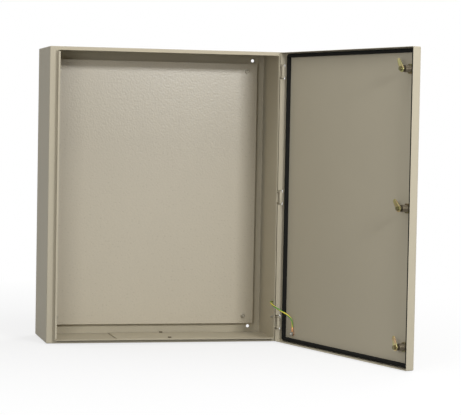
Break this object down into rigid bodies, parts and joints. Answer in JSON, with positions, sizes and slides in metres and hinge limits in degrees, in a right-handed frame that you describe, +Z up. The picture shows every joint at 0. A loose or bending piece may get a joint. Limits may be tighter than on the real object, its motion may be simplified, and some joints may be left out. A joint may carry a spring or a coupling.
{
  "type": "wall-mount electrical enclosure",
  "caption": "Wall-mount sheet-steel electrical enclosure, its right-hung gasketed door open on concealed hinges, with cam locks, a mounting plate and an earth bonding wire.",
  "frame": {"origin": "on the wall, at the centre of the four wall holes in the back", "axes": "+X to the viewer's right, +Y back into the wall, +Z up"},
  "size_m": [0.8252, 0.8569, 0.802],
  "materials": {
    "coat": "pebble-grey textured powder coat",
    "plate_coat": "pebble-grey textured powder coat",
    "zinc": "bright zinc plate",
    "yellow_zinc": "yellow-passivated zinc plate",
    "die_cast": "satin die-cast zinc",
    "gasket": "foamed polyurethane",
    "insulation": "green and yellow PVC",
    "lug_metal": "bare copper"
  },
  "bodies": {
    "cabinet": {"body_shell": "coat", "top_frame": "coat", "bottom_frame": "coat", "lock_side_frame": "coat", "hinge_side_frame": "coat", "mounting_plate": "plate_coat", "plate_studs": "zinc", "plate_washers": "zinc", "plate_nuts": "zinc", "gland_plate": "coat", "gland_plate_gasket": "gasket", "gland_plate_screws": "zinc", "body_earth_stud": "zinc", "body_earth_nut": "zinc", "body_earth_lug": "lug_metal", "bonding_wire": "insulation", "upper_hinge_bracket": "zinc", "upper_hinge_pin": "zinc", "middle_hinge_bracket": "zinc", "middle_hinge_pin": "zinc", "lower_hinge_bracket": "zinc", "lower_hinge_pin": "zinc"},
    "door": {"door_panel": "coat", "door_gasket": "gasket", "door_earth_stud": "zinc", "door_earth_nut": "zinc", "door_earth_lug": "lug_metal", "upper_door_knuckle": "zinc", "upper_lock_housing": "die_cast", "upper_lock_nut": "zinc", "middle_door_knuckle": "zinc", "middle_lock_housing": "die_cast", "middle_lock_nut": "zinc", "lower_door_knuckle": "zinc", "lower_lock_housing": "die_cast", "lower_lock_nut": "zinc"},
    "upper_lock": {"upper_lock_core": "die_cast", "upper_lock_cam": "yellow_zinc", "upper_cam_screw": "zinc"},
    "middle_lock": {"middle_lock_core": "die_cast", "middle_lock_cam": "yellow_zinc", "middle_cam_screw": "zinc"},
    "lower_lock": {"lower_lock_core": "die_cast", "lower_lock_cam": "yellow_zinc", "lower_cam_screw": "zinc"}
  },
  "joints": [
    {"name": "door_swing", "type": "hinge", "parent": "cabinet", "child": "door", "pos_m": [0.319, -0.234, 0], "axis": [0, 0, 1], "range_deg": [-105, 15], "deforming": ["bonding_wire"]},
    {"name": "upper_lock_turn", "type": "hinge", "parent": "door", "child": "upper_lock", "pos_m": [0.48061, -0.81393, 0.345], "axis": [-0.9659, -0.2588, 0], "range_deg": [-123, 57]},
    {"name": "middle_lock_turn", "type": "hinge", "parent": "door", "child": "middle_lock", "pos_m": [0.48061, -0.81393, 0], "axis": [-0.9659, -0.2588, 0], "range_deg": [-135, 45]},
    {"name": "lower_lock_turn", "type": "hinge", "parent": "door", "child": "lower_lock", "pos_m": [0.48061, -0.81393, -0.345], "axis": [-0.9659, -0.2588, 0], "range_deg": [-110, 70]}
  ]
}
